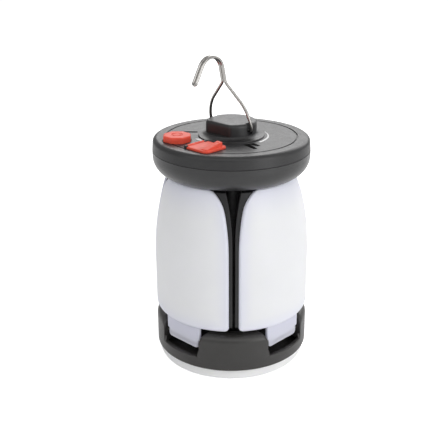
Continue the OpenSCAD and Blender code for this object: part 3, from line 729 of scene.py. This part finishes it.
def head_upper_shell():
    """The rim with its round groove, and the flat top with its openings."""
    groove, under, seam = 37.2, HEAD_TOP - PLATE_T, PARTING + 0.12
    wall_in, side_top, rim_in = HEAD_R - 2.35, HEAD_R - 0.5, 36.2
    groove_out, groove_z = groove + 0.4, HEAD_TOP - 0.6
    path = rounded([(rim_in, under, 0), (wall_in, under, 0), (wall_in, seam, 0),
                    (HEAD_R, seam, 0.35), (side_top, HEAD_TOP, 2.7), (groove_out, HEAD_TOP, 0.2),
                    (groove_out, groove_z, 0.15), (rim_in, groove_z, 0)], 7)
    shell = Solid().lathe(path, 200)
    slot_w, slot_l, slot_turn = 2.2, 15, -4
    slot_at = Vector((-26.8, 8.2, 0))
    slot = in_plan(rectangle(slot_l, slot_w, 0.6), slot_at, slot_turn)
    well = in_plan(rectangle(WELL_W, WELL_W, 0.6), PORT, PORT_TURN)
    hole = in_plan(octagon(BUTTON_AF + 0.5, 2.2), BUTTON)
    shell.slab(circle(groove - 0.35, 200), under + 0.05, HEAD_TOP, holes=[well, hole],
               pockets=[(slot, None, 0.8)], top=0.25)
    # posts for the four head screws
    post, post_d, screw, post_bot = 3, 33.5, 1.3, HEAD_BOT + 2.4
    for azimuth in GAPS:
        shell.slab(circle(post, 40), post_bot, under + 0.5, holes=[circle(screw, 24)], top=0,
                   move=at_azimuth(azimuth, post_d))
    # lugs that hold the port cover's pin
    lug_half, lug_y, lug_bot, lug_top = 0.9, 7.1, HEAD_TOP - 0.5, COVER_PIVOT.z + 0.8
    lug = rounded([(-lug_half, lug_bot, 0), (lug_half, lug_bot, 0), (lug_half, lug_top, 0.7),
                   (-lug_half, lug_top, 0.7)])
    for side in (-1, 1):
        shell.slab(lug, side * lug_y - 0.8, side * lug_y + 0.8, top=0.2, bottom=0.2,
                   shape=lambda x, z, y: (x, y, z), move=turned_about(COVER_PIVOT, PORT_TURN))
    obj = shell.piece("head_top_shell", "lantern", BLACK, "black_plastic")
    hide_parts("head_upper_shell")


def hook_boss():
    """The boss that holds the hook: one flat side, a thin skirt, a slot for each leg."""
    r, flat, skirt_h, brow, corner = 14.3, 11.2, 0.8, 1.6, 3.2
    half = degrees(acos(flat / r))
    # the flat faces local +X; its two corners are blended over some degrees of the round part
    blend = 13
    round_part = [(r * cos(radians(a)), r * sin(radians(a)))
                  for a in range(int(half) + blend, 360 - int(half) - blend + 1, 4)]
    blend_x, blend_y = r * cos(radians(half + blend)), r * sin(radians(half + blend))
    corner_y = r * sin(radians(half)) * 1.06
    ends = rounded([(blend_x, -blend_y, 0), (flat, -corner_y, corner), (flat, corner_y, corner),
                    (blend_x, blend_y, 0)], 7)
    outline = ends[1:-1] + round_part
    turn = Matrix.Rotation(radians(FACE_AZ - 90), 4, "Z")
    boss = Solid().slab(outline, HEAD_TOP + skirt_h - 0.1, BOSS_TOP, top=brow, steps=6, move=turn)
    obj = boss.piece("boss_body", "lantern", BLACK_BOSS, "black_plastic")
    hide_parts("hook_boss")
    slot_half, slot_in, slot_l, wire, wire_in = 2.2, 12.2, 8, 0.9, 8.5
    slot_bot, slot_top = HOOK_Z - slot_half, BOSS_TOP + 3
    channel = rounded([(-slot_half, slot_bot, 2.1), (slot_half, slot_bot, 2.1),
                       (slot_half, slot_top, 0), (-slot_half, slot_top, 0)])
    slots = Solid()
    for side in (0, 180):
        move = at_azimuth(HOOK_AZ + side)
        slots.slab(channel, slot_in, slot_in + slot_l, top=0, move=move,
                   shape=lambda x, z, d: (x, -d, z))
        slots.slab(circle(wire, 32), wire_in, slot_in + 1, top=0, move=move,
                   shape=lambda x, z, d: (x, -d, HOOK_Z + z))
    cut_away(obj, slots, 0.35)
    flare = [(0, 0), (SKIRT_R, 0), (SKIRT_R, 0.4), (SKIRT_R - 0.3, 0.7), (17.2, 0.85), (16.2, 1.05),
             (15.4, 1.4), (14.85, 1.85), (14.5, 2.4), (0, 2.4)]
    skirt = Solid().lathe([(d, HEAD_TOP + z) for d, z in flare])
    skirt.piece("boss_skirt", "lantern", BLACK_BOSS, "black_plastic", sharp=30)


def cut_away(obj, cutter, edge_mm):
    """Cuts solids from a piece and rounds the new edges a little."""
    mesh = bpy.data.meshes.new("cutter")
    mesh.from_pydata([v * MM for v in cutter.verts], [], cutter.faces)
    tool = bpy.data.objects.new("cutter", mesh)
    bpy.context.scene.collection.objects.link(tool)
    obj.modifiers.clear()
    boolean = obj.modifiers.new("cut", "BOOLEAN")
    boolean.operation, boolean.object, boolean.solver = "DIFFERENCE", tool, "EXACT"
    bevel = obj.modifiers.new("bevel", "BEVEL")
    bevel.width, bevel.segments = edge_mm * MM, 3
    bevel.limit_method, bevel.angle_limit = "ANGLE", radians(50)
    bevel.use_clamp_overlap = True
    evaluated = obj.evaluated_get(bpy.context.evaluated_depsgraph_get())
    baked = bpy.data.meshes.new_from_object(evaluated)
    obj.modifiers.clear()
    obj.data = baked
    bm = bmesh.new()
    bm.from_mesh(baked)
    soften(bm, 38)
    bm.to_mesh(baked)
    bm.free()
    add_weighted_normals(obj)
    bpy.data.objects.remove(tool)


def power_button():
    """An eight-sided push button with a ring mark sunk in its top."""
    crown, corner, flange, flange_z = 0.9, 2.4, 1.8, HEAD_TOP - PLATE_T - 1
    mark_out, mark_in, mark_depth, stem = 3.3, 2.5, 0.3, 2
    move = turned_about(BUTTON, 0)
    mark = (circle(mark_out, 48), circle(mark_in, 48), mark_depth)
    button = Solid().slab(octagon(BUTTON_AF, corner, 6), flange_z + 0.9, BUTTON_TOP, top=crown,
                          steps=3, pockets=[mark], move=move)
    button.slab(octagon(BUTTON_AF + flange, corner), flange_z, flange_z + 0.95, top=0.2, move=move)
    stem_bot = node_box("power_button")[0].z
    button.slab(circle(stem, 40), stem_bot, flange_z + 0.1, top=0, bottom=0.2, move=move)
    obj = button.piece("push_button", "button", RED, "red_rubber")
    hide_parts("power_button")


def port_cover():
    """A soft square cover: thin plate, plug, finger ridge with a scoop, and its hinge."""
    w, t, plug_w = 16.4, 1.3, 13.8
    half, ridge_top = w / 2, COVER_TOP - HEAD_TOP
    move = turned_about(PORT, PORT_TURN)
    near = -PORT_REACH + 1.4
    plate = rounded([(near, -half, 0.4), (half, -half, 3.4), (half, half, 2.6),
                     (near, half, 0.4)], 7)
    cover = Solid().slab(plate, HEAD_TOP, HEAD_TOP + t, top=0.55, bottom=0.2, move=move)
    plug = rectangle(plug_w, plug_w, 1.5)
    cover.slab(plug, HEAD_TOP - 1.6, HEAD_TOP + 0.4, top=0, bottom=0.3, move=move)
    # ridge: its far side leans, its near side is one hollow arc down to the plate
    scoop_x, scoop_z, scoop_r = half - 9.4, 6.7, 5.4
    scoop_angles = [radians(a) for a in (*range(-28, -77, -8), -80)]
    scoop = [(scoop_x + scoop_r * cos(a), scoop_z + scoop_r * sin(a)) for a in scoop_angles]
    ridge = rounded([(half - 8.4, 0.5, 0), (half - 1.0, 0.5, 0), (half - 1.1, ridge_top - 0.6, 0.3),
                     (half - 1.9, ridge_top, 0.6)], 4)
    ridge += [(x, z) for x, z in scoop if z < ridge_top - 0.02]
    near_end, far_end = -half + 1.4, half - 2.6
    fall = 0.85

    def sloped(x, z, y):
        """The ridge gets lower towards its near end."""
        along = (far_end - y) / (far_end - near_end)
        return (x, y, HEAD_TOP + t + (z - t) * (1 - fall * along) if z > t else HEAD_TOP + z)

    cover.slab(ridge, near_end, far_end, top=0.9, bottom=0.9, steps=12, move=move, shape=sloped)

    def across_pivot(x, z, y):
        return (x, y, COVER_PIVOT.z + z)

    # barrel and the strap that joins it to the plate
    barrel, bore, barrel_end, strap_end = 1.0, 0.55, 6.1, 6.0
    strap_from, strap_to = 0.65, 3
    strap_bot, strap_top = HEAD_TOP + 0.4 - COVER_PIVOT.z, HEAD_TOP + t - 0.1 - COVER_PIVOT.z
    pivot = turned_about(COVER_PIVOT, PORT_TURN)
    cover.slab(circle(barrel, 32), -barrel_end, barrel_end, holes=[circle(bore, 20)], top=0.2,
               bottom=0.2, move=pivot, shape=across_pivot)
    strap = rounded([(strap_from, strap_bot, 0), (strap_to, strap_bot, 0),
                     (strap_to, strap_top, 0), (strap_from, strap_top, 0)])
    cover.slab(strap, -strap_end, strap_end, top=0.2, bottom=0.2, move=pivot, shape=across_pivot)
    obj = cover.piece("port_cap", "cover", RED, "red_rubber")
    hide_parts("port_cover")


def paint_highlights_and_reflection():
    """Painted highlights along the boss skirt's edge and a painted reflection of the hook's slot,
    laid on the head's top; they say nothing.
    """
    paint_top = HEAD_TOP + 0.05

    def band(inner, outer, start, end, taper, steps=24):
        """A curved band between two radii that narrows towards one end."""
        far, near = [], []
        for k in range(steps + 1):
            a = radians(start + (end - start) * k / steps - 90)
            width = (outer - inner) * (1 - taper * k / steps)
            far.append(((inner + width) * cos(a), (inner + width) * sin(a)))
            near.append((inner * cos(a), inner * sin(a)))
        return far + near[::-1]

    # painted highlights: a tapering light arc along the boss skirt's edge and a small light patch
    # across from it
    light = Solid().slab(band(20.4, 22.0, 45, 110, 0.75), HEAD_TOP, paint_top, top=0)
    light.slab(band(19.2, 21.6, -70, -52, 0.3), HEAD_TOP, paint_top, top=0)
    light.piece("painted_skirt_highlight", "lantern", HIGHLIGHT_PAINT)
    # painted reflection: two dark slanted marks stand for the hook's slot mirrored in the glossy top
    dark = Solid()
    inner = 21
    for start, outer in ((16, 31), (25, 27)):
        corners = ((inner, start), (outer, start + 5), (outer, start + 9), (inner, start + 9))
        slant = [(d * sin(radians(a)), -d * cos(radians(a))) for d, a in corners]
        dark.slab(slant, HEAD_TOP, paint_top, top=0)
    dark.piece("painted_slot_reflection", "lantern", REFLECTION_PAINT)


# ---- stage ----


def area_light(name, place, target, size, power):
    light = bpy.data.lights.new(name, "AREA")
    light.energy = power
    light.shape, light.size, light.size_y = "RECTANGLE", size[0], size[1]
    obj = bpy.data.objects.new(name, light)
    bpy.context.scene.collection.objects.link(obj)
    obj.location = place
    obj.rotation_euler = (Vector(target) - Vector(place)).to_track_quat("-Z", "Y").to_euler()


def floor():
    mesh = bpy.data.meshes.new("floor")
    size = 6
    mesh.from_pydata([(-size, -size, 0), (size, -size, 0), (size, size, 0), (-size, size, 0)],
                     [], [(0, 1, 2, 3)])
    obj = bpy.data.objects.new("floor", mesh)
    bpy.context.scene.collection.objects.link(obj)
    s = Surface("floor_paint")
    s.set("Base Color", s.mix(s.noise(300, 3), (0.92, 0.92, 0.92), (0.95, 0.95, 0.95)))
    s.set("Roughness", s.ramp(s.noise(80, 3), 0.3, 0.7, 0.75, 0.85))
    s.set("Specular IOR Level", 0.1)
    # the camera sees the floor glow more than the lantern does, so that it reads as white
    s.set("Emission Color", (1, 1, 1))
    camera_ray = s.node("ShaderNodeLightPath").outputs["Is Camera Ray"]
    s.set("Emission Strength", s.ramp(camera_ray, 0, 1, 0.12, 0.6))
    mesh.materials.append(s.material)


def world():
    """White to the camera; for what it lights, brighter from above and from the right."""
    scene_world = bpy.data.worlds.new("studio")
    bpy.context.scene.world = scene_world
    scene_world.use_nodes = True
    tree = scene_world.node_tree
    background = tree.nodes["Background"]
    ray = tree.nodes.new("ShaderNodeLightPath")
    place = tree.nodes.new("ShaderNodeTexCoord")
    grade = tree.nodes.new("ShaderNodeVectorMath")
    grade.operation = "DOT_PRODUCT"
    grade.inputs[1].default_value = (0.16, 0.1, 0.18)
    level = tree.nodes.new("ShaderNodeMath")
    level.inputs[1].default_value = 0.345
    choose = tree.nodes.new("ShaderNodeMix")
    tree.links.new(place.outputs["Generated"], grade.inputs[0])
    tree.links.new(grade.outputs["Value"], level.inputs[0])
    tree.links.new(ray.outputs["Is Camera Ray"], choose.inputs[0])
    tree.links.new(level.outputs[0], choose.inputs[2])
    choose.inputs[3].default_value = 1.0
    tree.links.new(choose.outputs[0], background.inputs["Strength"])
    background.inputs["Color"].default_value = (1, 1, 1, 1)


def lights():
    aim = (0, 0, 0.08)
    area_light("key", (0.82, -0.76, 0.6), aim, (0.8, 0.8), 2.9)
    area_light("front", (-0.1, -1, 1), aim, (0.9, 0.4), 2)
    area_light("low", (0.6, -0.55, 0.14), aim, (0.35, 0.24), 0.7)
    area_light("fill", (-0.9, -0.6, 0.7), aim, (0.7, 0.9), 2.0)
    area_light("back", (0.3, 0.95, 0.7), aim, (1.2, 0.6), 6.5)


def camera():
    data = bpy.data.cameras.new("camera")
    obj = bpy.data.objects.new("camera", data)
    bpy.context.scene.collection.objects.link(obj)
    turn, down, distance, height = radians(-1.7), radians(21.3), 0.4411, 0.2517
    data.sensor_width = 36
    data.lens = 64.286
    data.shift_x = -0.0166
    data.clip_start = 0.01
    obj.location = (distance * sin(turn), -distance * cos(turn), height)
    obj.rotation_euler = (radians(90) - down, 0, turn)
    bpy.context.scene.camera = obj
    bpy.context.scene.view_settings.view_transform = "Standard"


finish_cad_nodes()
base_lens()
base_ring()
panels()
head_upper_shell()
hook_boss()
power_button()
port_cover()
paint_highlights_and_reflection()
floor()
world()
lights()
camera()
